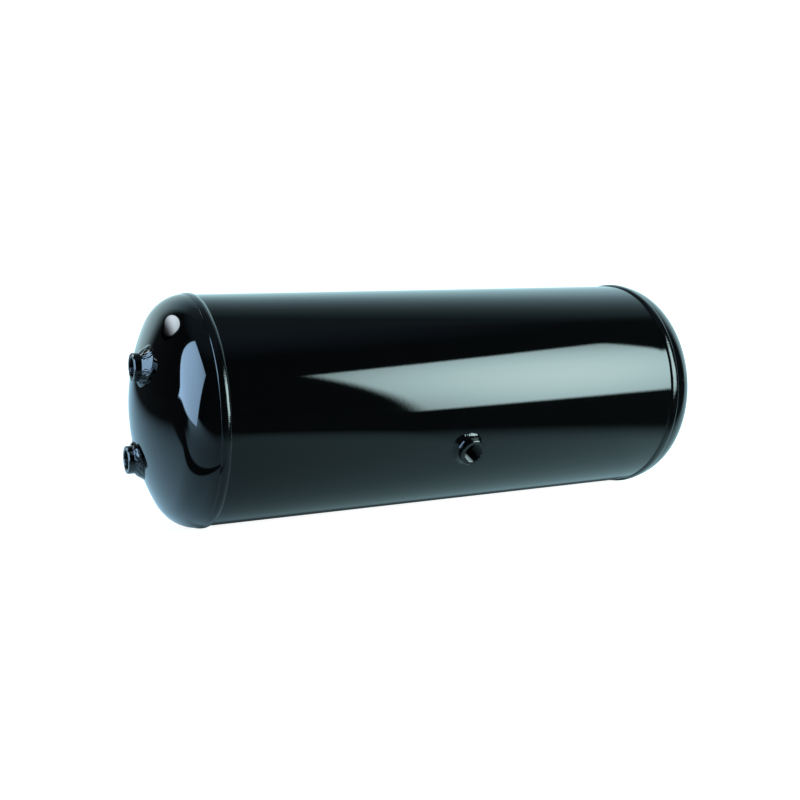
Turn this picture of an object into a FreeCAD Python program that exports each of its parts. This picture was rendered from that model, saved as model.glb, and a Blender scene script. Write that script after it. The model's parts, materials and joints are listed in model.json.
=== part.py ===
# Horizontal compressed-air tank: a rolled shell, two dished heads butt-welded to its ends, and
# screwed ports welded into the shell and the heads. Millimetres, +Z up.
# Frame: +X runs along the tank, -Y is the side of the shell port, and the origin lies on the
# floor below the middle of the tank, which rests on the crests of its two rim welds.
import FreeCAD, Part
import math
import os

# driving dimensions
SHELL_RADIUS = 123.0        # outside of the rolled shell
SHELL_WALL = 2.5
RIM_SPAN = 548.0            # from the middle of one rim weld to the middle of the other
ROOT_GAP = 2.0              # between an end of the shell and the rim of its head
HEAD_WALL = 2.5
HEAD_STEP = 1.0             # a head's rim over the shell's outside
KNUCKLE_RADIUS = 40.0       # outside of a head's knuckle
CROWN_RADIUS = 228.0        # outside of a head's crown
RIM_WELD_WIDTH = 10.6       # from toe to toe
RIM_WELD_CREST = 2.0        # over the shell's outside
RIM_WELD_EDGE = 0.2         # thickness that a rim weld's cap ends with at each toe
SEAM_WIDTH = 7.0            # butt weld that closes the rolled shell
SEAM_HEIGHT = 1.2
SEAM_TURN = 160.0           # from the shell port over the top, in degrees
SEAM_END_GAP = 1.0          # from each rim weld's toe
PORT_TURN = 20.5            # shell port's axis below the horizontal, in degrees
PORT_RADIUS = 15.0          # outside of every port
PORT_CHAMFER = 0.8          # on a port's outer corner
PORT_GAP = 0.2              # radial, between a port and its hole in the wall
THREAD_RADIUS = 10.19       # M22 x 1.5 internal thread at its crests
MOUTH_RADIUS = 11.6         # countersink at a port's mouth, 45 degrees
HEAD_PORT_OFFSET = 54.6     # from the tank's axis to a head port's axis
HEAD_PORT_PROUD = 12.0      # a head port's face past the head, on the port's axis
HEAD_PORT_INSIDE = 6.0      # its inner end past the head's inner face, on the same axis
HEAD_PORT_WELD_FOOT = 8.0   # width of the weld round a head port, along the head
HEAD_PORT_WELD_CLIMB = 4.5  # its height up the port
SHELL_PORT_PROUD = 10.3
SHELL_PORT_INSIDE = 4.0
SHELL_PORT_WELD_FOOT = 6.0
SHELL_PORT_WELD_CLIMB = 5.0
WELD_EDGE = 0.4             # thickness that a port weld ends with, up the port
WELD_GAP = 0.1              # between a weld and the steel that it joins
WELD_SINK = 3.0             # depth that a port weld is drawn to before the wall trims it

# worked out from them
RIM_X = RIM_SPAN / 2
SHELL_HALF = RIM_X - ROOT_GAP / 2
HEAD_X = RIM_X + ROOT_GAP / 2
HEAD_RADIUS = SHELL_RADIUS + HEAD_STEP
CREST_RADIUS = SHELL_RADIUS + RIM_WELD_CREST
KNUCKLE_CENTRE = HEAD_RADIUS - KNUCKLE_RADIUS
CROWN_ANGLE = math.asin(KNUCKLE_CENTRE / (CROWN_RADIUS - KNUCKLE_RADIUS))
CROWN_X = HEAD_X - (CROWN_RADIUS - KNUCKLE_RADIUS) * math.cos(CROWN_ANGLE)
TURN = math.radians(PORT_TURN)

ORIGIN = FreeCAD.Vector(0, 0, 0)
X_AXIS = FreeCAD.Vector(1, 0, 0)
PORT_LINE = FreeCAD.Vector(0, -math.sin(TURN), math.cos(TURN))       # through a head's ports
SHELL_PORT_AXIS = FreeCAD.Vector(0, -math.cos(TURN), -math.sin(TURN))
LIFT = FreeCAD.Vector(0, 0, CREST_RADIUS)                            # the tank's axis over the floor


def arc(centre, radius, start, end):
    """Arc in the X-Y plane about centre, its angles in radians from +Y towards +X."""
    def point(angle):
        return centre + FreeCAD.Vector(radius * math.sin(angle), radius * math.cos(angle), 0)
    return Part.Arc(point(start), point((start + end) / 2), point(end)).toShape()


def link(first, second):
    return Part.makeLine(first, second)


def turned(edges):
    """Solid made by turning a closed outline of the X-Y plane about the tank's axis."""
    return Part.Face(Part.Wire(edges)).revolve(ORIGIN, X_AXIS, 360)


def first_point(edge):
    return edge.valueAt(edge.FirstParameter)


def last_point(edge):
    return edge.valueAt(edge.LastParameter)


def dish(inset):
    """Knuckle and crown edges of the right head's outline, inset from its outside."""
    knuckle = arc(FreeCAD.Vector(HEAD_X, KNUCKLE_CENTRE, 0), KNUCKLE_RADIUS - inset,
                  0, math.pi / 2 - CROWN_ANGLE)
    crown = arc(FreeCAD.Vector(CROWN_X, 0, 0), CROWN_RADIUS - inset,
                math.pi / 2 - CROWN_ANGLE, math.pi / 2)
    return knuckle, crown


def crown_at(inset, offset):
    """X of the right head's crown at a distance from the tank's axis."""
    return CROWN_X + math.sqrt((CROWN_RADIUS - inset) ** 2 - offset ** 2)


def plain_head():
    """Right head before its ports, a dished plate with its rim at HEAD_X."""
    outer = dish(0)
    inner = dish(HEAD_WALL)
    return turned([*outer, link(last_point(outer[1]), last_point(inner[1])), inner[1], inner[0],
                   link(first_point(inner[0]), first_point(outer[0]))])


def head_block():
    """All that lies inside the right head's outside, the weld gap added all round."""
    knuckle, crown = dish(-WELD_GAP)
    rim = FreeCAD.Vector(HEAD_X - WELD_GAP, HEAD_RADIUS + WELD_GAP, 0)
    foot = FreeCAD.Vector(rim.x, 0, 0)
    return turned([knuckle, crown, link(last_point(crown), foot), link(foot, rim),
                   link(rim, first_point(knuckle))])


def shell_block():
    """All that lies inside the shell's outside, the weld gap added all round."""
    half = SHELL_HALF + WELD_GAP
    return Part.makeCylinder(SHELL_RADIUS + WELD_GAP, 2 * half, X_AXIS * -half, X_AXIS)


def head_port_spots():
    """Name and axis point of each port on the right head, where its axis meets the crown."""
    x = crown_at(0, HEAD_PORT_OFFSET)
    upper = FreeCAD.Vector(x, 0, 0) + PORT_LINE * HEAD_PORT_OFFSET
    lower = FreeCAD.Vector(x, 0, 0) - PORT_LINE * HEAD_PORT_OFFSET
    return {"upper": upper, "lower": lower}


def port(spot, axis, proud, inside):
    """Round boss through a wall, chamfered at its face, with a countersunk through bore."""
    length = proud + inside
    start = spot - axis * inside
    face = spot + axis * proud
    body = Part.makeCylinder(PORT_RADIUS, length - PORT_CHAMFER, start, axis)
    edge = Part.makeCone(PORT_RADIUS, PORT_RADIUS - PORT_CHAMFER, PORT_CHAMFER,
                         face - axis * PORT_CHAMFER, axis)
    mouth_depth = MOUTH_RADIUS - THREAD_RADIUS
    mouth = Part.makeCone(THREAD_RADIUS, MOUTH_RADIUS, mouth_depth, face - axis * mouth_depth, axis)
    bore = Part.makeCylinder(THREAD_RADIUS, length, start, axis)
    return body.fuse(edge).removeSplitter().cut(bore.fuse(mouth))


def port_weld(spot, axis, normal, foot, climb, block):
    """Fillet weld round a port: a cone skewed along its axis, trimmed by the wall's block."""
    inner = PORT_RADIUS + WELD_GAP
    tilt = axis.dot(normal)
    rings = []
    for height in (-WELD_SINK, climb):
        width = WELD_EDGE + (foot - WELD_EDGE) * (1 - height / climb)
        centre = spot + axis * (height / tilt)
        rings.append(Part.Wire(Part.makeCircle(inner / tilt + width, centre, normal)))
    reach = 2 * inner
    body = Part.makeCylinder(inner, 2 * reach, spot - axis * reach, axis)
    return Part.makeLoft(rings, True, True).cut(block).cut(body)


def rim_weld(block):
    """Butt weld at the right head's rim: a low cap over a root that fills the gap between the plates."""
    half = RIM_WELD_WIDTH / 2
    over = WELD_GAP + RIM_WELD_EDGE
    bend = math.sqrt(KNUCKLE_RADIUS ** 2 - (RIM_X + half - HEAD_X) ** 2)
    shell_toe = FreeCAD.Vector(RIM_X - half, SHELL_RADIUS + over, 0)
    crest = FreeCAD.Vector(RIM_X, CREST_RADIUS, 0)
    head_toe = FreeCAD.Vector(RIM_X + half, KNUCKLE_CENTRE + bend + over, 0)
    root = SHELL_RADIUS - SHELL_WALL
    corners = [FreeCAD.Vector(head_toe.x, root, 0), FreeCAD.Vector(shell_toe.x, root, 0)]
    body = turned([Part.Arc(shell_toe, crest, head_toe).toShape(), link(head_toe, corners[0]),
                   link(*corners), link(corners[1], shell_toe)])
    return body.cut(block).cut(shell_block())


def seam_weld():
    """Low bead along the shell over the joint of its rolled plate."""
    half = SEAM_WIDTH / 2 / SHELL_RADIUS
    foot_radius = SHELL_RADIUS + WELD_GAP
    turn = math.radians(180 + PORT_TURN - SEAM_TURN)

    def point(radius, angle):
        return FreeCAD.Vector(0, radius * math.cos(angle), radius * math.sin(angle))
    ends = [point(foot_radius, turn - half), point(foot_radius, turn + half)]
    crest = Part.Arc(ends[0], point(SHELL_RADIUS + SEAM_HEIGHT, turn), ends[1]).toShape()
    foot = Part.Arc(ends[1], point(foot_radius, turn), ends[0]).toShape()
    length = RIM_SPAN - RIM_WELD_WIDTH - 2 * SEAM_END_GAP
    bead = Part.Face(Part.Wire([crest, foot])).extrude(X_AXIS * length)
    return bead.translated(X_AXIS * (-length / 2))


def shell():
    """Tube with the shell port's hole, its ends short of the heads by the root gap."""
    start = X_AXIS * -SHELL_HALF
    outside = Part.makeCylinder(SHELL_RADIUS, 2 * SHELL_HALF, start, X_AXIS)
    inside = Part.makeCylinder(SHELL_RADIUS - SHELL_WALL, 2 * SHELL_HALF, start, X_AXIS)
    hole = Part.makeCylinder(PORT_RADIUS + PORT_GAP, SHELL_RADIUS + SHELL_PORT_PROUD,
                             ORIGIN, SHELL_PORT_AXIS)
    return outside.cut(inside).cut(hole)


def right_end():
    """The right head with its ports and welds, by name."""
    head = plain_head()
    block = head_block()
    pieces = {}
    inside = crown_at(0, HEAD_PORT_OFFSET) - crown_at(HEAD_WALL, HEAD_PORT_OFFSET) + HEAD_PORT_INSIDE
    for name, spot in head_port_spots().items():
        hole = Part.makeCylinder(PORT_RADIUS + PORT_GAP, RIM_SPAN, spot - X_AXIS * RIM_SPAN / 2, X_AXIS)
        normal = (spot - X_AXIS * CROWN_X).normalize()
        head = head.cut(hole)
        pieces[name + "_port"] = port(spot, X_AXIS, HEAD_PORT_PROUD, inside)
        pieces[name + "_port_weld"] = port_weld(spot, X_AXIS, normal, HEAD_PORT_WELD_FOOT,
                                               HEAD_PORT_WELD_CLIMB, block)
    pieces["head"] = head
    pieces["rim_weld"] = rim_weld(block)
    return pieces


def tank():
    """Every piece by node name, with the tank's axis on the X axis."""
    spot = SHELL_PORT_AXIS * SHELL_RADIUS
    nodes = {
        "shell": shell(),
        "shell_seam_weld": seam_weld(),
        "shell_port": port(spot, SHELL_PORT_AXIS, SHELL_PORT_PROUD, SHELL_WALL + SHELL_PORT_INSIDE),
        "shell_port_weld": port_weld(spot, SHELL_PORT_AXIS, SHELL_PORT_AXIS, SHELL_PORT_WELD_FOOT,
                                     SHELL_PORT_WELD_CLIMB, shell_block()),
    }
    for name, piece in right_end().items():
        nodes["right_" + name] = piece
        nodes["left_" + name] = piece.mirror(ORIGIN, X_AXIS)
    return nodes


os.makedirs("parts", exist_ok=True)
for node, piece in tank().items():
    placed = piece.translated(LIFT)
    placed.exportStep("parts/" + node + ".step")
    box = placed.BoundBox
    print(f"{node}: {len(placed.Solids)} solid, valid {placed.isValid()}, {placed.Volume / 1000:.2f} cm3, "
          f"x {box.XMin:.2f} {box.XMax:.2f} y {box.YMin:.2f} {box.YMax:.2f} z {box.ZMin:.2f} {box.ZMax:.2f}")
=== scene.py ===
import json
import math
import bpy
import numpy as np
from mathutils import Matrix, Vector

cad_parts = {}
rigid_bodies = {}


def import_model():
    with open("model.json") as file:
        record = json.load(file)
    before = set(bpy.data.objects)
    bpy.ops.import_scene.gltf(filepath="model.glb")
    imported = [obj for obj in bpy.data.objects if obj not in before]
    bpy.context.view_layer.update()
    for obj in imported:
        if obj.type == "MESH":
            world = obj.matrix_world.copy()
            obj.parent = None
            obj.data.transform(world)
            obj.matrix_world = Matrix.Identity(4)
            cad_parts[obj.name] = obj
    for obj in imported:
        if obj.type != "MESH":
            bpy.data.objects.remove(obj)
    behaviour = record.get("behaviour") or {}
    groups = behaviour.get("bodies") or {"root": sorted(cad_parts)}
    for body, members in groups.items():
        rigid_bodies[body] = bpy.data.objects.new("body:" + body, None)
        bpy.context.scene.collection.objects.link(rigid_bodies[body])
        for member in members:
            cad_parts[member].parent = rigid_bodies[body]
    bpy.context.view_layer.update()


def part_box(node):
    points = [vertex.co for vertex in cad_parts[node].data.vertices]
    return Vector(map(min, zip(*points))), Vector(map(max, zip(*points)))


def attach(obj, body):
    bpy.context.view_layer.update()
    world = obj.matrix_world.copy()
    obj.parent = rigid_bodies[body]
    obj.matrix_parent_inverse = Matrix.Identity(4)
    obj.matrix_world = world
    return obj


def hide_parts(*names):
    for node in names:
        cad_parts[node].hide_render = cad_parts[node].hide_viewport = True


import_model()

mm = 0.001


def linearColour(hexText):
    # sRGB channel c to linear: c / 12.92 up to 0.04045, ((c + 0.055) / 1.055) ^ 2.4 above it
    channels = np.array([int(hexText[i:i + 2], 16) for i in (1, 3, 5)]) / 255
    linear = np.where(channels <= 0.04045, channels / 12.92, ((channels + 0.055) / 1.055) ** 2.4)
    return (*linear.tolist(), 1.0)


def addNode(tree, kind, inputs=None, **settings):
    # one node: settings are its own, and each input gets a value or is joined to another node's output
    node = tree.nodes.new(kind)
    for name, value in settings.items():
        setattr(node, name, value)
    for name, value in (inputs or {}).items():
        if isinstance(value, bpy.types.NodeSocket):
            tree.links.new(value, node.inputs[name])
        else:
            node.inputs[name].default_value = value
    return node


def fade(tree, value, start, end, low=0.0, high=1.0, kind="SMOOTHSTEP"):
    # low + (high - low) * smooth((value - start) / (end - start)), smooth(t) being 3 t^2 - 2 t^3 between 0 and 1,
    # or t itself if kind is LINEAR
    return addNode(tree, "ShaderNodeMapRange", {
        "Value": value, "From Min": start, "From Max": end, "To Min": low, "To Max": high},
        interpolation_type=kind).outputs["Result"]


def emptyTree(owner):
    owner.use_nodes = True
    owner.node_tree.nodes.clear()
    return owner.node_tree


def meshObject(name, points, material, smoothBelow=30):
    # rows and columns of points (mm): each cell is a four-sided face, doubles at seams and poles are merged,
    # and the faces are turned over if the closed volume comes out negative
    rows, columns = points.shape[:2]
    index = np.arange(rows * columns).reshape(rows, columns)
    quads = np.stack([index[:-1, :-1], index[1:, :-1], index[1:, 1:], index[:-1, 1:]], -1).reshape(-1, 4)
    flat = points.reshape(-1, 3) * mm
    corner = flat[quads]
    halves = np.cross(corner[:, 1] - corner[:, 0], corner[:, 2] - corner[:, 0]) + np.cross(
        corner[:, 2] - corner[:, 0], corner[:, 3] - corner[:, 0])
    if (halves * (corner.mean(1) - flat.mean(0))).sum() < 0:
        quads = quads[:, ::-1]
    mesh = bpy.data.meshes.new(name)
    mesh.vertices.add(len(flat))
    mesh.vertices.foreach_set("co", flat.astype(np.float32).ravel())
    mesh.loops.add(quads.size)
    mesh.loops.foreach_set("vertex_index", quads.astype(np.int32).ravel())
    mesh.polygons.add(len(quads))
    mesh.polygons.foreach_set("loop_start", np.arange(0, quads.size, 4, dtype=np.int32))
    mesh.update(calc_edges=True)
    piece = bpy.data.objects.new(name, mesh)
    bpy.context.scene.collection.objects.link(piece)
    weld = piece.modifiers.new("seams", "WELD")
    weld.merge_threshold = 2e-6
    applyModifiers(piece)
    piece.data.polygons.foreach_set("use_smooth", np.ones(len(piece.data.polygons), bool))
    piece.data.set_sharp_from_angle(angle=math.radians(smoothBelow))
    if material:
        piece.data.materials.append(material)
    return piece


def applyModifiers(piece):
    bpy.context.view_layer.update()
    graph = bpy.context.evaluated_depsgraph_get()
    made = bpy.data.meshes.new_from_object(piece.evaluated_get(graph))
    old = piece.data
    piece.modifiers.clear()
    piece.data = made
    bpy.data.meshes.remove(old)


def stands(piece, node):
    # the piece shows in the CAD node's place and moves with the tank
    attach(piece, "root")
    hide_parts(node)
    return piece


shellLow, shellHigh = (np.array(corner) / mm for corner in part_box("shell"))
headLow, headHigh = (np.array(corner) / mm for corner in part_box("right_head"))
axisHeight = (shellLow[2] + shellHigh[2]) / 2

tank = {
    "shellRadius": (shellHigh[2] - shellLow[2]) / 2,
    "shellHalf": shellHigh[0],
    "rimX": headLow[0],
    "rimRadius": (headHigh[2] - headLow[2]) / 2,
    "wall": 2.5,
    "knuckle": 40.0,         # outside radius where a head turns in
    "crown": 228.0,          # outside radius of a head's dome
    "portTurn": math.radians(20.5),
    "portOffset": 54.6,      # a head port's axis from the tank's axis
    "portHole": 15.2,        # radius of the hole that each port fills
    "around": 288,           # columns round the tank
}
tank["knuckleCentre"] = tank["rimRadius"] - tank["knuckle"]
tank["crownAngle"] = math.asin(tank["knuckleCentre"] / (tank["crown"] - tank["knuckle"]))
tank["crownX"] = tank["rimX"] - (tank["crown"] - tank["knuckle"]) * math.cos(tank["crownAngle"])
portLine = np.array([0, -math.sin(tank["portTurn"]), math.cos(tank["portTurn"])])
shellPortAxis = np.array([0, -math.cos(tank["portTurn"]), -math.sin(tank["portTurn"])])
alongTank = np.array([1.0, 0, 0])
middle = np.array([0, 0, axisHeight])


def turned(x, radius, columns):
    # a row of (x, radius) carried round the tank's axis: (x, radius sin a, axis height + radius cos a)
    angle = np.linspace(0, 2 * np.pi, columns + 1)
    x, radius, angle = np.broadcast_arrays(x, radius, angle[None, :])
    return np.stack([x, radius * np.sin(angle), axisHeight + radius * np.cos(angle)], -1)


def waves(first, second, seed, terms=5):
    # slow unevenness between -1 and 1: a mean of sines whose whole numbers of turns come from the seed
    draw = np.random.default_rng(seed)
    total = 0
    for turns, slope, phase in zip(draw.integers(2, 9, terms), draw.uniform(-3, 3, terms),
                                   draw.uniform(0, 2 * np.pi, terms)):
        total = total + np.sin(turns * first + slope * second + phase)
    return total / terms


def enamel(name, look):
    # stoved gloss enamel over mild steel: near-black, mirror-like, with the slight orange peel of sprayed paint
    material = bpy.data.materials.new(name)
    tree = emptyTree(material)
    place = addNode(tree, "ShaderNodeTexCoord")
    peel = addNode(tree, "ShaderNodeTexNoise", {
        "Vector": place.outputs["Object"], "Scale": 1 / (look["peelSize"] * mm), "Detail": 2.0, "Roughness": 0.5})
    swell = addNode(tree, "ShaderNodeTexNoise", {
        "Vector": place.outputs["Object"], "Scale": 1 / (look["swellSize"] * mm), "Detail": 1.0})
    lowBump = addNode(tree, "ShaderNodeBump", {
        "Strength": 1.0, "Distance": look["swellHeight"] * mm, "Height": swell.outputs["Fac"]})
    bump = addNode(tree, "ShaderNodeBump", {
        "Strength": 1.0, "Distance": look["peelHeight"] * mm, "Height": peel.outputs["Fac"],
        "Normal": lowBump.outputs["Normal"]})
    haze = addNode(tree, "ShaderNodeTexNoise", {
        "Vector": place.outputs["Object"], "Scale": 1 / (look["hazeSize"] * mm), "Detail": 4.0, "Roughness": 0.6})
    gloss = fade(tree, haze.outputs["Fac"], *noiseSpan, *look["roughness"], kind="LINEAR")
    shade = addNode(tree, "ShaderNodeMix", {
        "Factor": haze.outputs["Fac"], "A": linearColour(look["colours"][0]), "B": linearColour(look["colours"][1])},
        data_type="RGBA")
    shader = addNode(tree, "ShaderNodeBsdfPrincipled", {
        "Base Color": shade.outputs["Result"], "Roughness": gloss, "IOR": 1.5,
        "Metallic": 0.0, "Normal": bump.outputs["Normal"]})
    addNode(tree, "ShaderNodeOutputMaterial", {"Surface": shader.outputs["BSDF"]})
    return material


noiseSpan = (0.3, 0.75)      # what a noise's values mostly lie between
# sizes and heights in mm
enamelLooks = {
    "shell": {"colours": ("#010202", "#030303"), "roughness": (0.03, 0.055), "peelSize": 3.2, "peelHeight": 0.009,
              "swellSize": 45.0, "swellHeight": 0.03, "hazeSize": 60.0},
    "head": {"colours": ("#010202", "#030303"), "roughness": (0.03, 0.055), "peelSize": 3.6, "peelHeight": 0.004,
             "swellSize": 45.0, "swellHeight": 0.02, "hazeSize": 60.0},
    "weld": {"colours": ("#010202", "#040404"), "roughness": (0.06, 0.16), "peelSize": 1.6, "peelHeight": 0.012,
             "swellSize": 6.0, "swellHeight": 0.05, "hazeSize": 9.0},
    "port": {"colours": ("#020202", "#050505"), "roughness": (0.08, 0.18), "peelSize": 1.6, "peelHeight": 0.006,
             "swellSize": 9.0, "swellHeight": 0.02, "hazeSize": 12.0},
}
shellEnamel = enamel("gloss_enamel_on_rolled_steel", enamelLooks["shell"])
headEnamel = enamel("gloss_enamel_on_pressed_steel", enamelLooks["head"])
weldEnamel = enamel("gloss_enamel_on_weld_bead", enamelLooks["weld"])
portEnamel = enamel("gloss_enamel_on_turned_steel", enamelLooks["port"])
print("finishes made")


shellForm = {
    "rows": 150,
    "insideRows": 12,
    "crowding": 0.3,         # how far the rows gather towards the ends, where the welds draw the plate in
    "unevenness": 0.03,      # rolled plate, mm
    "uneven": (90.0, 0.4),   # the plate's waves along the tank, mm, and how far they are set inwards
    "pull": 0.06,            # how far each rim weld's shrinkage draws the shell in
    "pullReach": 9.0,
    "toeBack": 6.3,          # from the head's rim back to the toe of the weld
    "drillLength": 40.0,
}


def shellOutside(x, angle):
    # radius = nominal + slow waves - pull * exp(-(distance from the weld's toe / reach)^2)
    toe = tank["rimX"] - shellForm["toeBack"]
    away = (np.abs(x) - toe) / shellForm["pullReach"]
    waveLength, setIn = shellForm["uneven"]
    return (tank["shellRadius"] + shellForm["unevenness"] * (waves(angle, x / waveLength, 4) - setIn)
            - shellForm["pull"] * np.exp(-away ** 2))


def drilled(piece, spot, axis, radius, length):
    # takes a round hole out of the piece: a closed cylinder, turned about its own axis, is cut from it
    side = np.array([1.0, 0, 0]) if abs(axis[0]) < 0.5 else np.array([0, 1.0, 0])
    other = np.cross(axis, side)
    angle = np.linspace(0, 2 * np.pi, 97)
    reach = np.array([0, radius, radius, 0])[:, None]
    along = np.array([-length, -length, length, length])[:, None] / 2
    points = (spot + along[..., None] * axis + (reach * np.cos(angle))[..., None] * side
              + (reach * np.sin(angle))[..., None] * other)
    drill = meshObject("drill", points, None)
    hole = piece.modifiers.new("hole", "BOOLEAN")
    hole.operation = "DIFFERENCE"
    hole.solver = "EXACT"
    hole.object = drill
    applyModifiers(piece)
    bpy.data.objects.remove(drill)
    piece.data.set_sharp_from_angle(angle=math.radians(30))
    return piece


def shellPiece():
    # closed outline: along the outside, over one end, back along the inside, over the other
    columns = tank["around"]
    angle = np.linspace(0, 2 * np.pi, columns + 1)[None, :]
    half = tank["shellHalf"]
    share = np.linspace(-1, 1, shellForm["rows"])
    crowding = shellForm["crowding"]
    out = half * ((1 - crowding) * share + crowding * np.sin(share * np.pi / 2))[:, None]
    outside = turned(out, shellOutside(out, angle), columns)
    back = np.linspace(half, -half, shellForm["insideRows"])[:, None]
    inside = turned(back, tank["shellRadius"] - tank["wall"], columns)
    piece = meshObject("rolled_shell", np.concatenate([outside, inside, outside[:1]]), shellEnamel)
    spot = middle + shellPortAxis * tank["shellRadius"]
    return drilled(piece, spot, shellPortAxis, tank["portHole"], shellForm["drillLength"])


stands(shellPiece(), "shell")
print("shell made")


headForm = {
    "knuckleRows": 30,
    "crownRows": 48,
    "unevenness": 0.05,
    "waveLength": 30.0,      # the pressed plate's waves along the tank, mm
    "rimRound": 0.3,         # outer corner of the rim, under the weld
    "drillX": 325.0,         # where the port holes' drills stand along the tank, and their length
    "drillLength": 60.0,
}


def headPiece(side):
    # outline: rim corner, knuckle arc and crown arc to the pole, then the same arcs inset by the wall, back to the rim
    turnAngle = np.pi / 2 - tank["crownAngle"]

    def arcs(inset):
        bend = np.linspace(0, turnAngle, headForm["knuckleRows"])
        dome = np.linspace(turnAngle, np.pi / 2, headForm["crownRows"])[1:]
        knuckle = tank["knuckle"] - inset
        crown = tank["crown"] - inset
        x = np.concatenate([tank["rimX"] + knuckle * np.sin(bend), tank["crownX"] + crown * np.sin(dome)])
        radius = np.concatenate([tank["knuckleCentre"] + knuckle * np.cos(bend), crown * np.cos(dome)])
        return x, radius
    outX, outRadius = arcs(0)
    inX, inRadius = arcs(tank["wall"])
    soften = np.linspace(np.pi / 2, 0, 5)[:-1]
    corner = headForm["rimRound"]
    cornerX = tank["rimX"] + corner - corner * np.sin(soften)
    cornerRadius = tank["rimRadius"] - corner + corner * np.cos(soften)
    outX[0] += corner
    x = np.concatenate([cornerX, outX, inX[::-1], cornerX[:1]])[:, None]
    radius = np.concatenate([cornerRadius, outRadius, inRadius[::-1], cornerRadius[:1]])[:, None]
    angle = np.linspace(0, 2 * np.pi, tank["around"] + 1)[None, :]
    # pressed plate: a dip of a few hundredths that fades at the rim and the pole
    rows = len(cornerX) + len(outX)
    dip = np.zeros_like(x)
    dip[len(cornerX):rows, 0] = np.sin(np.linspace(0, np.pi, len(outX))) ** 2
    seed = 8 if side > 0 else 9
    x = x - headForm["unevenness"] * dip * (1 + waves(angle, x / headForm["waveLength"], seed))
    points = turned(x, radius, tank["around"])
    points[..., 0] *= side
    piece = meshObject("dished_head_right" if side > 0 else "dished_head_left", points, headEnamel)
    for end in (1, -1):
        spot = middle + portLine * tank["portOffset"] * end + alongTank * side * headForm["drillX"]
        drilled(piece, spot, alongTank, tank["portHole"], headForm["drillLength"])
    return piece


for side, label in ((-1, "left"), (1, "right")):
    stands(headPiece(side), label + "_head")
print("heads made")


rimLow, rimHigh = (np.array(corner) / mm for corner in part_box("right_rim_weld"))
rimBead = {
    "centre": (rimLow[0] + rimHigh[0]) / 2,
    "half": (rimHigh[0] - rimLow[0]) / 2,
    "crest": (rimHigh[2] - rimLow[2]) / 2 - 0.04,  # just within the CAD's
    "fullness": (0.85, 0.75),  # on the shell and on the head: the lower, the steeper the cap's edge
    "sink": 0.07,            # how far the toes lie under the steel
    "under": 0.8,            # and the bead's back under the shell
    "pitch": 1.9,            # ripple spacing of a machine weld
    "ripple": 0.03,
    "bow": 0.8,              # how far a ripple's ends trail its middle, in pitches
    "lumps": 0.05,
    "lumpTurns": (9, 31),    # their waves round the tank, slow and quick
    "ragged": (0.25, 43),    # the toe's quick unevenness, and its waves round the tank
    "wander": (0.5, 4),      # how far the toe on the shell strays, and its waves
    "fadeRate": 1.6,         # how fast ripples and lumps fade towards both toes
    "headFade": 1.1,         # and from this share less one on towards the head
    "rows": 30,
    "columns": 1680,
}


def rimWeldPiece(side):
    # a cap across the joint, share running from the shell (-1) to the head (1):
    # radius = steel + (crest - steel) (1 - share^2)^fullness + faded ripples cos(2 pi (arc / pitch - bow share^2)) and
    # lumps, never past the crest; then back under the steel
    bead = rimBead
    angle = np.linspace(0, 2 * np.pi, bead["columns"] + 1)[None, :]
    share = np.sin(np.linspace(-np.pi / 2, np.pi / 2, bead["rows"]))[:, None]
    seed = 21 if side > 0 else 22
    wander, wanderTurns = bead["wander"]
    ragged, raggedTurns = bead["ragged"]
    stray = np.clip(-share, 0, 1) * (wander * waves(angle * wanderTurns, 0, seed, 9)
                                     + ragged * waves(angle * raggedTurns, 0, seed + 8, 9))
    x = bead["centre"] + bead["half"] * share + stray
    bend = np.clip(x - tank["rimX"], 0, tank["knuckle"])
    head = tank["knuckleCentre"] + np.sqrt(tank["knuckle"] ** 2 - bend ** 2)
    onHead = np.clip((x - tank["shellHalf"]) / (tank["rimX"] - tank["shellHalf"]), 0, 1)
    steel = tank["shellRadius"] + (head - tank["shellRadius"]) * onHead
    cap = np.clip(1 - share ** 2, 0, 1) ** np.where(share < 0, *bead["fullness"])
    ripple = np.cos(2 * np.pi * (angle * tank["shellRadius"] / bead["pitch"] - bead["bow"] * share ** 2)
                    + waves(angle * 6, 0, seed + 2))
    slowTurns, quickTurns = bead["lumpTurns"]
    lumps = waves(angle * slowTurns, share * 2, seed + 4, 9) + 0.6 * waves(angle * quickTurns, share, seed + 6, 9)
    faded = np.clip(bead["fadeRate"] * (1 - np.abs(share)), 0, 1) * np.clip(bead["headFade"] - share, 0, 1)
    radius = (steel - bead["sink"] + (bead["crest"] - bead["lumps"] - steel) * cap
              + faded * (bead["ripple"] * ripple + bead["lumps"] * lumps))
    radius = np.minimum(radius, bead["crest"])
    under = np.full_like(angle, tank["shellRadius"] - bead["under"])
    x = np.concatenate([x, x[-1:], x[:1], x[:1]])
    radius = np.concatenate([radius, under, under, radius[:1]])
    points = turned(x, radius, bead["columns"])
    points[..., 0] *= side
    return meshObject("rim_weld_right" if side > 0 else "rim_weld_left", points, weldEnamel, 50)


for side, label in ((-1, "left"), (1, "right")):
    stands(rimWeldPiece(side), label + "_rim_weld")

seamBead = {
    "width": 7.0,
    "height": 1.05,
    "turn": 160.0,           # degrees round from the shell port
    "pitch": 1.6,
    "ripple": 0.06,
    "bow": 0.7,
    "lumps": 0.08,
    "taper": 4.0,            # over this length each end narrows to this share of the width
    "endShare": 0.35,
    "sink": 0.08,
    "under": 0.6,
    "shorter": 0.1,          # at each end, than the CAD's
    "rows": 14,
    "columns": 1500,
}


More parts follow.
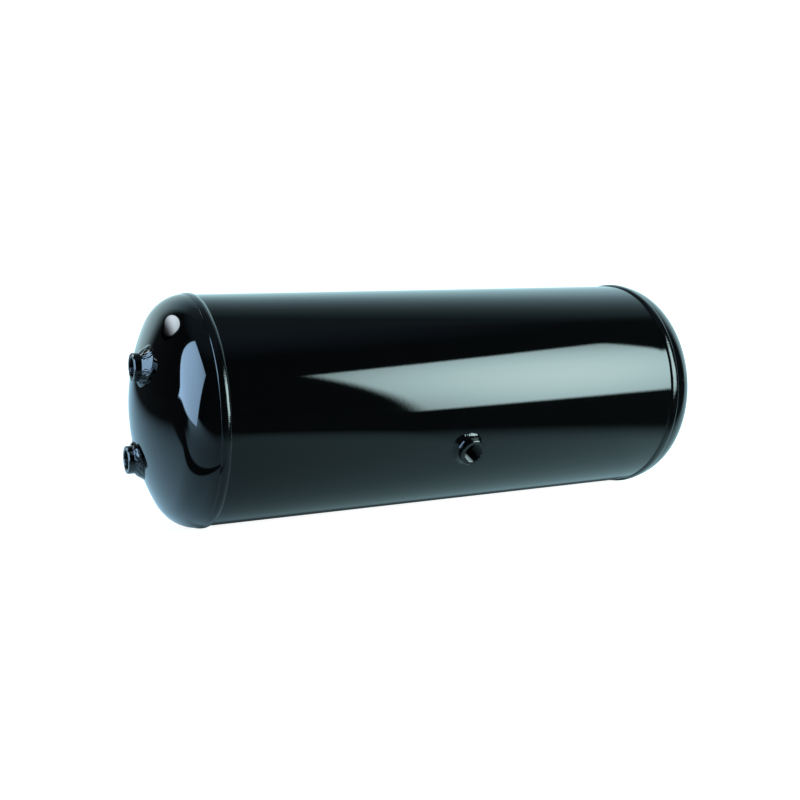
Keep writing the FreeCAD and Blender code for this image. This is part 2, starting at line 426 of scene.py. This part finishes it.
def seamWeldPiece():
    # along the shell: height = (1 - across^2) (crest + ripples + lumps), at the angle of the plate's joint
    bead = seamBead
    length = 2 * (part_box("shell_seam_weld")[1][0] / mm - bead["shorter"])
    along = np.linspace(-length / 2, length / 2, bead["columns"])[:, None]
    across = np.linspace(-1, 1, bead["rows"])[None, :]
    middleAngle = math.pi - (math.radians(180 - bead["turn"]) + tank["portTurn"])
    ends = np.clip((length / 2 - np.abs(along)) / bead["taper"], 0, 1) ** 0.5
    endShare = bead["endShare"]
    width = bead["width"] / 2 * (endShare + (1 - endShare) * ends) * (1 + 0.05 * waves(along / 9, 0, 31))
    ripple = np.cos(2 * np.pi * (along / bead["pitch"] - bead["bow"] * across ** 2) + waves(along / 14, 0, 32))
    lumps = waves(along / 11, across, 33)
    height = (1 - across ** 2) * ends * (bead["height"] + bead["ripple"] * ripple + bead["lumps"] * lumps)
    turn = math.pi / 2 - middleAngle + across * width / tank["shellRadius"]
    radius = tank["shellRadius"] - bead["sink"] + height

    def onShell(radius):
        spread = np.broadcast_to(along, turn.shape)
        return np.stack([spread, radius * np.cos(turn), axisHeight + radius * np.sin(turn)], -1)
    face = onShell(radius)
    under = onShell(np.full_like(turn, tank["shellRadius"] - bead["under"]))[:, ::-1]
    ring = np.concatenate([face, under, face[:, :1]], 1)
    caps = ring.mean(1, keepdims=True) + 0 * ring
    return meshObject("seam_weld", np.concatenate([caps[:1], ring, caps[-1:]]), weldEnamel, 50)


stands(seamWeldPiece(), "shell_seam_weld")
print("rim and seam welds made")


portForm = {
    "radius": 15.0,
    "chamfer": 0.8,
    "crest": 10.19,          # M22 x 1.5 internal thread
    "root": 11.0,
    "pitch": 1.5,
    "land": 0.25,            # shares of the half pitch that the crest's land and then the flank take up
    "flank": 0.625,
    "mouth": 10.9,           # where the countersink meets the face
    "eased": (0.04, 0.03),   # how far the chamfer's first corner sinks, and its middle rows draw in
    "innerEdge": 0.6,        # chamfer on the end inside the tank
    "rowGap": (0.25, 0.1),   # from a corner to the next row on the wall or the face, and past the chamfer
    "columns": 96,
    "stepsAPitch": 10,
    "onShell": (10.3, 6.5),  # length outside the shell from the spot, and inside it
    "onHead": (12.0, 6.0),   # the same on a head, the second past the plate
}
portWeld = {
    "rows": 22,
    "columns": 320,
    "pitch": 2.6,
    "bow": 0.9,
    "ripple": 0.07,
    "lumps": 0.8,
    "stop": (0.5, 0.25),     # the lump where the welder stopped: height and half angle
    "lean": 0.65,            # how far the bead's top follows the port rather than the dome
    "outwards": (0.82, 0.18),  # a head's bead: its width's mean, and what the dome's outward side adds
    "wander": 0.09,
    "oneSide": 0.38,         # how much broader the shell port's bead is towards one side
    "sideTurn": math.radians(205),
    "shellRoughness": 0.3,   # the shell port's bead is the calmer
    "overlap": 0.05,         # into the port
    "toeSink": 0.1,
    "backSink": 0.7,
    "onShell": (5.7, 5.2),   # width, and climb up the port
    "onHead": (8.0, 5.5),
}


def localPoints(spot, axis, first, second, radius, angle, height):
    # round a port: spot + radius (cos a first + sin a second) + height * axis
    radius, angle, height = np.broadcast_arrays(radius, angle, height)
    return (spot + (radius * np.cos(angle))[..., None] * first + (radius * np.sin(angle))[..., None] * second
            + height[..., None] * axis)


def portPiece(name, spot, axis, first, second, proud, inside):
    # outline: outer wall, chamfer, face, countersink, then a bore whose radius is the crest plus a trapezoid of
    # (height / pitch + angle / 2 pi), never less than the countersink
    form = portForm
    angle = np.linspace(0, 2 * np.pi, form["columns"] + 1)[None, :]
    chamfer, innerEdge = form["chamfer"], form["innerEdge"]
    rowGap, closeGap = form["rowGap"]
    wallHeight = np.array([-inside, innerEdge - inside, proud - chamfer - rowGap])
    wallRadius = np.array([form["radius"] - innerEdge, form["radius"], form["radius"]])
    # a 45 degree chamfer, eased inwards
    share = np.array([0, 0.25, 0.75, 1])
    sunk, drawnIn = form["eased"]
    edgeHeight = proud - chamfer * (1 - share) - sunk * (share == 0)
    edgeRadius = form["radius"] - chamfer * share - drawnIn * ((share > 0) & (share < 1))
    faceRadius = np.linspace(form["radius"] - chamfer - closeGap, form["mouth"] + rowGap, 4)
    faceHeight = np.full(4, proud)
    depth = np.arange(closeGap, proud + inside, form["pitch"] / form["stepsAPitch"])
    boreHeight = (proud - depth)[:, None]
    swing = np.abs(2 * np.mod(boreHeight / form["pitch"] + angle / (2 * np.pi), 1) - 1)
    cut = np.clip((swing - form["land"]) / form["flank"], 0, 1) * (form["root"] - form["crest"])
    countersink = form["mouth"] - depth[:, None]
    boreRadius = np.maximum(form["crest"] + cut, countersink)
    ones = np.ones_like(angle)
    radius = np.concatenate([np.concatenate([wallRadius, edgeRadius, faceRadius])[:, None] * ones,
                             boreRadius, (form["radius"] - innerEdge) * ones])
    height = np.concatenate([np.concatenate([wallHeight, edgeHeight, faceHeight])[:, None] * ones,
                             boreHeight * ones, -inside * ones])
    # the bore's last row closes on the inner end's face
    return meshObject(name, localPoints(spot, axis, first, second, radius, angle, height), portEnamel, 28)


def portWeldPiece(name, spot, axis, first, second, wallHeight, foot, climb, seed, shell=False):
    # height over the wall = climb * share ^ 0.9, or on the shell a hollow quarter round
    # climb * (1 - sqrt(1 - share^2)), plus ripples and lumps; share runs from the toe in to the port, the wall's own
    # height under each point is added, and the bead sinks a little into it
    form = portWeld
    angle = np.linspace(0, 2 * np.pi, form["columns"] + 1)[None, :]
    share = np.linspace(0, 1, form["rows"])[:, None]
    inner = portForm["radius"] - form["overlap"]
    rough = form["shellRoughness"] if shell else 1.0
    if shell:
        # laid by hand, broader on one side
        foot = foot * (1 + form["oneSide"] * np.cos(angle - form["sideTurn"]))
    else:
        # the dome falls away outwards (angle 0), so the bead is broader there and climbs further
        mean, more = form["outwards"]
        foot = foot * (mean + more * np.cos(angle))
        climb = climb - form["lean"] * wallHeight(inner, angle)
    toe = inner + foot * (1 + form["wander"] * waves(angle, 0, seed, 6))
    radius = toe + (inner - toe) * share
    arc = angle * (inner + foot / 2)
    ripple = np.cos(2 * np.pi * (arc / form["pitch"] - form["bow"] * (2 * share - 1) ** 2)
                    + 1.5 * waves(angle, 0, seed + 1))
    faded = np.sin(np.pi * np.clip(share * 0.92 + 0.04, 0, 1)) ** 0.8
    stopHeight, stopAngle = form["stop"]
    stop = np.exp(-((np.mod(angle - 0.6 * seed, 2 * np.pi) - np.pi) / stopAngle) ** 2)
    face = climb * (1 - np.sqrt(1 - (0.97 * share) ** 2)) if shell else climb * share ** 0.9
    lumps = waves(angle * 2, share * 3, seed + 2, 6) + 0.35 * waves(angle * 7, share * 5, seed + 3, 7)
    height = face + faded * (form["ripple"] * ripple + form["lumps"] * lumps + stopHeight * stop) * rough
    height = height + wallHeight(radius, angle) - form["toeSink"] * (1 - share)
    lowIn = wallHeight(np.full_like(angle, inner), angle) - form["backSink"]
    lowOut = wallHeight(toe, angle) - form["backSink"]
    radius = np.concatenate([radius, np.full_like(angle, inner), toe, toe])
    height = np.concatenate([height, lowIn, lowOut, height[:1]])
    return meshObject(name, localPoints(spot, axis, first, second, radius, angle, height), weldEnamel, 50)


def shellWall(radius, angle):
    # the cylinder's drop from the spot's plane: sqrt(R^2 - v^2) - R, v being the distance across the tank
    across = radius * np.sin(angle)
    return np.sqrt(tank["shellRadius"] ** 2 - across ** 2) - tank["shellRadius"]


def headWall(radius, angle):
    # the dome's drop along the tank from the spot: sqrt(C^2 - offset'^2) - sqrt(C^2 - offset^2)
    outward = tank["portOffset"] + radius * np.cos(angle)
    across = radius * np.sin(angle)
    crown = tank["crown"]
    return np.sqrt(crown ** 2 - outward ** 2 - across ** 2) - math.sqrt(crown ** 2 - tank["portOffset"] ** 2)


shellSpot = middle + shellPortAxis * tank["shellRadius"]
acrossShell = np.cross(shellPortAxis, alongTank)
stands(portPiece("port_shell", shellSpot, shellPortAxis, alongTank, acrossShell, *portForm["onShell"]), "shell_port")
stands(portWeldPiece("port_weld_shell", shellSpot, shellPortAxis, alongTank, acrossShell, shellWall,
                     *portWeld["onShell"], 41, shell=True), "shell_port_weld")
domeX = tank["crownX"] + math.sqrt(tank["crown"] ** 2 - tank["portOffset"] ** 2)
innerDomeX = tank["crownX"] + math.sqrt((tank["crown"] - tank["wall"]) ** 2 - tank["portOffset"] ** 2)
proud, pastPlate = portForm["onHead"]
for side, label in ((-1, "left"), (1, "right")):
    axis = alongTank * side
    for end, level in ((1, "upper"), (-1, "lower")):
        spot = middle + alongTank * side * domeX + portLine * tank["portOffset"] * end
        outward = portLine * end
        crossing = np.cross(axis, outward)
        name = level + "_" + label
        stands(portPiece("port_" + name, spot, axis, outward, crossing, proud, domeX - innerDomeX + pastPlate),
               label + "_" + level + "_port")
        seed = 50 + 10 * side + 3 * end
        stands(portWeldPiece("port_weld_" + name, spot, axis, outward, crossing, headWall, *portWeld["onHead"], seed),
               label + "_" + level + "_port_weld")
print("ports and their welds made")


def stageCard(name, corners, material):
    # a flat card of one quad, with its own UV map from 0 to 1
    mesh = bpy.data.meshes.new(name)
    mesh.from_pydata(np.array(corners, float).tolist(), [], [(0, 1, 2, 3)])
    layer = mesh.uv_layers.new(name="card")
    layer.data.foreach_set("uv", np.array([0, 0, 1, 0, 1, 1, 0, 1], np.float32))
    mesh.materials.append(material)
    card = bpy.data.objects.new(name, mesh)
    bpy.context.scene.collection.objects.link(card)
    return card


def glowing(name, look):
    # soft box cloth: brightness = 1 - sag * 4 * (distance from the hot spot)^2, falling away over look["edges"] (left,
    # right, bottom, top), and for a round lamp between look["round"]'s squared distances from the middle
    material = bpy.data.materials.new(name)
    tree = emptyTree(material)
    spread = addNode(tree, "ShaderNodeUVMap", uv_map="card")
    parts = addNode(tree, "ShaderNodeSeparateXYZ", {"Vector": spread.outputs["UV"]})

    def spotDistance(centre):
        away = addNode(tree, "ShaderNodeVectorMath", {0: spread.outputs["UV"], 1: (*centre, 0)}, operation="SUBTRACT")
        return addNode(tree, "ShaderNodeVectorMath", {0: away.outputs["Vector"], 1: away.outputs["Vector"]},
                       operation="DOT_PRODUCT").outputs["Value"]
    level = addNode(tree, "ShaderNodeMath", {0: spotDistance(look["hotSpot"]), 1: -4 * look["sag"], 2: 1.0},
                    operation="MULTIPLY_ADD").outputs["Value"]
    masks = [(parts.outputs["X"], 0, look["edges"][0]), (parts.outputs["X"], 1, 1 - look["edges"][1]),
             (parts.outputs["Y"], 0, look["edges"][2]), (parts.outputs["Y"], 1, 1 - look["edges"][3])]
    if "round" in look:
        masks.append((spotDistance((0.5, 0.5)), *look["round"]))
    for value, start, end in masks:
        level = addNode(tree, "ShaderNodeMath", {0: level, 1: fade(tree, value, start, end)},
                        operation="MULTIPLY").outputs["Value"]
    strength = addNode(tree, "ShaderNodeMath", {0: level, 1: look["strength"]}, operation="MULTIPLY")
    away = fade(tree, spotDistance(look["hotSpot"]), 0.0, coreReach, kind="LINEAR")
    shade = addNode(tree, "ShaderNodeMix", {
        "Factor": away, "A": linearColour(look.get("core", look["colour"])),
        "B": linearColour(look["colour"])}, data_type="RGBA")
    light = addNode(tree, "ShaderNodeEmission", {
        "Color": shade.outputs["Result"], "Strength": strength.outputs["Value"]})
    shown = light.outputs["Emission"]
    if "round" in look:
        # the card's corners are cut away, leaving a black rim round the lamp
        rim = addNode(tree, "ShaderNodeMath", {0: spotDistance(look["rimCentre"]), 1: look["rim"]},
                      operation="GREATER_THAN")
        clear = addNode(tree, "ShaderNodeBsdfTransparent")
        shown = addNode(tree, "ShaderNodeMixShader", {
            "Fac": rim.outputs["Value"], 1: shown, 2: clear.outputs["BSDF"]}).outputs["Shader"]
    addNode(tree, "ShaderNodeOutputMaterial", {"Surface": shown})
    return material


def lightCard(name, look):
    # corners are (along, up) in metres on an upright plane that faces the tank, look["turn"] degrees round from -Y
    turn = math.radians(look["turn"])
    away = np.array([math.sin(turn), -math.cos(turn), 0]) * look["distance"]
    sideways = np.array([math.cos(turn), math.sin(turn), 0])
    corners = [away + sideways * along + np.array([0, 0, up]) for along, up in look["corners"]]
    card = stageCard(name, corners, glowing(name + "_cloth", look))
    card.visible_camera = False
    if look.get("mirroredOnly"):
        # flagged off the shell, which would mirror it along its whole top from the ends, and off the far weld
        card.visible_diffuse = False
        card.light_linking.receiver_collection = flagged
    return card


coreReach = 0.12             # squared distance from a lamp's hot spot at which its core colour has gone
studioLights = {
    "key_box": {"turn": 40, "distance": 0.9, "strength": 13.6, "colour": "#dafcff", "core": "#dffdfb",
                "edges": (0.07, 0.06, 0.06, 0.07), "hotSpot": (0.5, 0.45), "sag": 0.33,
                "corners": ((-0.33, 0.01), (0.275, 0.115), (0.26, 0.84), (-0.47, 0.82))},
    "side_panel": {"turn": -60, "distance": 1.2, "strength": 12.0, "colour": "#b1d9ff", "mirroredOnly": True,
                   "edges": (0.02, 0.02, 0.02, 0.02), "hotSpot": (0.25, 0.8), "sag": 0.1,
                   "corners": ((-0.13, -0.02), (0.43, 0.98), (-0.39, 2.1), (-1.38, 0.19))},
    "round_lamp": {"turn": -130, "distance": 1.5, "strength": 9.5, "colour": "#e6f4ff", "mirroredOnly": True,
                   "edges": (0.01, 0.01, 0.6, 0.01), "hotSpot": (0.5, 0.8), "sag": 0.15,
                   "round": (0.25, 0.19), "rimCentre": (0.5, 0.56), "rim": 0.34,
                   "corners": ((-0.37, 0.54), (0.2, 0.54), (0.42, 1.64), (-0.2, 1.64))},
}
flagged = bpy.data.collections.new("lit_by_the_side_lamps")
for piece in bpy.data.objects:
    if piece.name.startswith(("dished_head", "rim_weld_left", "port")):
        flagged.objects.link(piece)
for name, look in studioLights.items():
    lightCard(name, look)

floorLook = {
    "colour": "#eef1f2",
    "seen": (0.3, 1.6, 0.93, 1.1),  # glow added where it is seen directly: distances from the middle, levels there
    "mirrored": ("#b4e4ff", "#c3f5ff"),  # painted reflection: the glow the paint sees of the paper, at its left and at its right
    "tintTurns": (-0.32, -0.18),  # x between which the left colour becomes the right one
    "gap": "#30363b",            # painted reflection: the glow the paint sees of the room past the paper
    "front": (-0.21, 0.33, 0.43, 0.93),  # painted shade in front of the tank, lighter to the right: x from, x to, and the levels there
    "left": (-0.3, 1.6, 0.44),   # painted light: left of this x the front grows brighter by the slope, from the level
    "behind": 1.12,              # painted light: level behind the tank
    "leftFade": (-1.15, -0.38),  # behind: x where the lit paper has gone and where it is full
    # where the lit paper ends in front, at the tank's right, middle and left: y = first + second * x
    "frontEdges": ((-0.278, 0.31), (-0.32, 1.06), (-0.3, 0.42)),
    "edgeLimits": (-0.46, -0.16),  # y that the middle edge stops at, and that no edge comes nearer than
    "frontFade": (1.35, 0.7),    # y over that edge's y, from dark to lit
    # y from which front turns to behind, past the tank's ends and along it, and y to which
    "meets": (-0.27, -0.03, 0.03),
    "tankEnd": (0.26, 0.31),     # distance from the middle over which the floor beside the tank becomes open floor
    "under": (0.032, 0.044, 0.1),  # painted shadow of the tank: the level rises from the third number between these two
    "darkStrip": (-0.28, -0.2, 0.55),  # a dark strip painted into the paint's mirror of the paper: it starts at x, y and runs left, y rising by the slope
    "darkStripWidth": (0.13, 0.008),  # its half width grows by the first number a metre from the second
    "darkStripEdge": (0.75, 1.25),    # and its edge lies between these shares of the half width
}


def paperFloor():
    # white paper sweep: lit as it is, with a lift towards clean white where it is seen directly; to the paint's mirror
    # it glows instead with the levels above, a painted reflection with painted light behind the tank and painted shade
    # in front, going dark in front of the tank and to its left, where the paper ends, and along one dark strip
    look = floorLook
    material = bpy.data.materials.new("white_paper_sweep")
    tree = emptyTree(material)
    place = addNode(tree, "ShaderNodeTexCoord")
    parts = addNode(tree, "ShaderNodeSeparateXYZ", {"Vector": place.outputs["Object"]})
    across, along = parts.outputs["X"], parts.outputs["Y"]

    def line(value, factor, offset):
        return addNode(tree, "ShaderNodeMath", {0: value, 1: factor, 2: offset},
                       operation="MULTIPLY_ADD").outputs["Value"]

    def worked(operation, first, second=0.0):
        return addNode(tree, "ShaderNodeMath", {0: first, 1: second}, operation=operation).outputs["Value"]

    def blend(factor, first, second):
        return addNode(tree, "ShaderNodeMix", {"Factor": factor, "A": first, "B": second}).outputs["Result"]
    rightEdge, middleEdge, leftEdge = (line(across, slope, offset) for offset, slope in look["frontEdges"])
    farLimit, nearLimit = look["edgeLimits"]
    middleEdge = worked("MAXIMUM", middleEdge, worked("MINIMUM", leftEdge, farLimit))
    edge = worked("MINIMUM", worked("MINIMUM", rightEdge, middleEdge), nearLimit)
    lit = fade(tree, worked("DIVIDE", along, edge), *look["frontFade"])
    # painted light and shade for the paint's mirror: darker in front of the tank, brighter behind it and to its left
    leftX, slope, leftLevel = look["left"]
    leftRise = line(across, -slope, leftLevel + slope * leftX)
    front = worked("MAXIMUM", fade(tree, across, *look["front"], kind="LINEAR"), leftRise)
    behind = worked("MULTIPLY", fade(tree, across, *look["leftFade"]), look["behind"])
    pastEnd = fade(tree, worked("ABSOLUTE", across), *look["tankEnd"])
    openFrom, besideFrom, meetsTo = look["meets"]
    passing = blend(pastEnd, fade(tree, along, besideFrom, meetsTo), fade(tree, along, openFrom, meetsTo))
    level = blend(passing, front, behind)
    # the dark strip, painted into the mirrored level
    startX, startY, slope = look["darkStrip"]
    run = line(across, -1.0, startX)
    offLine = worked("ABSOLUTE", worked("SUBTRACT", along, line(run, slope, startY)))
    halfWidth = worked("MAXIMUM", line(run, *look["darkStripWidth"]), 0.00001)
    clear = fade(tree, worked("DIVIDE", offLine, halfWidth), *look["darkStripEdge"])
    # painted shadow: the mirrored level drops under the tank, between its ends
    shaded = worked("MAXIMUM", fade(tree, worked("ABSOLUTE", along), *look["under"]), pastEnd)
    level = worked("MULTIPLY", worked("MULTIPLY", level, lit), worked("MULTIPLY", clear, shaded))
    tint = addNode(tree, "ShaderNodeMix", {
        "Factor": fade(tree, across, *look["tintTurns"]), "A": linearColour(look["mirrored"][0]),
        "B": linearColour(look["mirrored"][1])}, data_type="RGBA")
    paperGlow = addNode(tree, "ShaderNodeEmission", {"Color": tint.outputs["Result"], "Strength": level})
    gapGlow = addNode(tree, "ShaderNodeEmission", {"Color": linearColour(look["gap"]), "Strength": 1.0})
    mirrored = addNode(tree, "ShaderNodeAddShader", {0: paperGlow.outputs["Emission"], 1: gapGlow.outputs["Emission"]})
    paper = addNode(tree, "ShaderNodeBsdfDiffuse", {"Color": linearColour(look["colour"])})
    ray = addNode(tree, "ShaderNodeLightPath")
    either = addNode(tree, "ShaderNodeMixShader", {
        "Fac": ray.outputs["Is Glossy Ray"], 1: paper.outputs["BSDF"], 2: mirrored.outputs["Shader"]})
    far = addNode(tree, "ShaderNodeVectorMath", {0: place.outputs["Object"]}, operation="LENGTH")
    lift = fade(tree, far.outputs["Value"], *look["seen"])
    glow = addNode(tree, "ShaderNodeEmission", {
        "Color": (1, 1, 1, 1), "Strength": worked("MULTIPLY", lift, ray.outputs["Is Camera Ray"])})
    both = addNode(tree, "ShaderNodeAddShader", {0: either.outputs["Shader"], 1: glow.outputs["Emission"]})
    addNode(tree, "ShaderNodeOutputMaterial", {"Surface": both.outputs["Shader"]})
    return material


stageCard("floor", ((-9, -9, 0), (9, -9, 0), (9, 9, 0), (-9, 9, 0)), paperFloor())

surround = {
    "seen": (1.05, 1.05, 1.05, 1),  # clean white where it is seen directly
    "bright": 145.0,         # middle of the lit backdrop, degrees round from -Y
    "spread": (0.42, 0.62),  # cosine where it has gone and where it is full
    # colours by the direction's own Z: the backdrop, then the dark room
    "rises": ((0.0, "#d0f5ff"), (0.42, "#d0f5ff"), (0.56, "#c2e8f4"), (0.67, "#aad0dd"), (0.77, "#86aab8"),
              (0.86, "#60747e"), (1.0, "#4c5a62")),
    "roomRises": ((0.0, "#2c3136"), (0.8, "#2c3136"), (0.93, "#556576"), (1.0, "#556576")),
    "brightest": (175.0, 0.87, 0.99, 1.0, 1.25),  # towards this turn the backdrop's level rises between two cosines
    # at the backdrop's right the colours go by atan2(Z, Y) - lean * X instead, in radians
    "rightRises": ((0.0, "#c9f5ff"), (0.1, "#c5f0fd"), (0.262, "#add4df"), (0.4625, "#8eaeb8"),
                   (0.637, "#718a92"), (0.785, "#586d73"), (0.925, "#405055"), (1.0, "#45565b")),
    "rightLean": 1.134,
    "rightLevel": 1.43,
    "rightFrom": (0.12, 0.3),  # X where the right-hand colours begin and are full
}


def studioSurround():
    # a white backdrop behind the tank that fades upwards and sideways into a dark room; seen directly it is white
    world = bpy.data.worlds.new("studio")
    bpy.context.scene.world = world
    tree = emptyTree(world)
    place = addNode(tree, "ShaderNodeTexCoord")
    direction = place.outputs["Generated"]
    parts = addNode(tree, "ShaderNodeSeparateXYZ", {"Vector": direction})

    def rising(colours, height):
        ramp = addNode(tree, "ShaderNodeValToRGB", {"Fac": height})
        stops = ramp.color_ramp.elements
        for position, colour in colours[1:-1]:
            stops.new(position)
        for stop, (position, colour) in zip(stops, colours):
            stop.position = position
            stop.color = linearColour(colour)
        return ramp.outputs["Color"]
    flat = addNode(tree, "ShaderNodeVectorMath", {0: direction, 1: (1, 1, 0)}, operation="MULTIPLY")
    level = addNode(tree, "ShaderNodeVectorMath", {0: flat.outputs["Vector"]}, operation="NORMALIZE")

    def nearing(turn):
        # cosine of the angle between the direction's level part and the turn, degrees round from -Y
        turn = math.radians(turn)
        return addNode(tree, "ShaderNodeVectorMath", {
            0: level.outputs["Vector"], 1: (math.sin(turn), -math.cos(turn), 0)},
            operation="DOT_PRODUCT").outputs["Value"]

    def scaled(colour, level):
        return addNode(tree, "ShaderNodeVectorMath", {0: colour, "Scale": level}, operation="SCALE").outputs["Vector"]

    def blend(factor, first, second):
        return addNode(tree, "ShaderNodeMix", {"Factor": factor, "A": first, "B": second},
                       data_type="RGBA").outputs["Result"]
    across, behind, up = (parts.outputs[axis] for axis in "XYZ")
    brightTurn, *gain = surround["brightest"]
    backdrop = scaled(rising(surround["rises"], up), fade(tree, nearing(brightTurn), *gain))
    upAngle = addNode(tree, "ShaderNodeMath", {0: up, 1: behind}, operation="ARCTAN2")
    leaning = addNode(tree, "ShaderNodeMath", {
        0: across, 1: -surround["rightLean"], 2: upAngle.outputs["Value"]}, operation="MULTIPLY_ADD")
    right = scaled(rising(surround["rightRises"], leaning.outputs["Value"]), surround["rightLevel"])
    white = blend(fade(tree, across, *surround["rightFrom"]), backdrop, right)
    lit = fade(tree, nearing(surround["bright"]), *surround["spread"])
    mirrored = blend(lit, rising(surround["roomRises"], up), white)
    ray = addNode(tree, "ShaderNodeLightPath")
    colour = blend(ray.outputs["Is Camera Ray"], mirrored, surround["seen"])
    sky = addNode(tree, "ShaderNodeBackground", {"Color": colour, "Strength": 1.0})
    addNode(tree, "ShaderNodeOutputWorld", {"Surface": sky.outputs["Background"]})


studioSurround()
print("floor and lights made")

view = {
    "place": (-0.5814, -1.0837, 0.2976),
    "towards": (0.41835, 0.89691, -0.14332),
    "lens": 47.71,
    "sensor": 36,
    "shift": 0.05,           # the picture's middle lies a little right of the optical axis
}
cameraData = bpy.data.cameras.new("camera")
cameraData.lens = view["lens"]
cameraData.sensor_width = view["sensor"]
cameraData.shift_x = view["shift"]
cameraData.clip_start = 0.05
camera = bpy.data.objects.new("camera", cameraData)
bpy.context.scene.collection.objects.link(camera)
camera.location = view["place"]
camera.rotation_mode = "QUATERNION"
camera.rotation_quaternion = Vector(view["towards"]).to_track_quat("-Z", "Y")
bpy.context.scene.camera = camera
bpy.context.scene.view_settings.view_transform = "Standard"
print("camera placed")
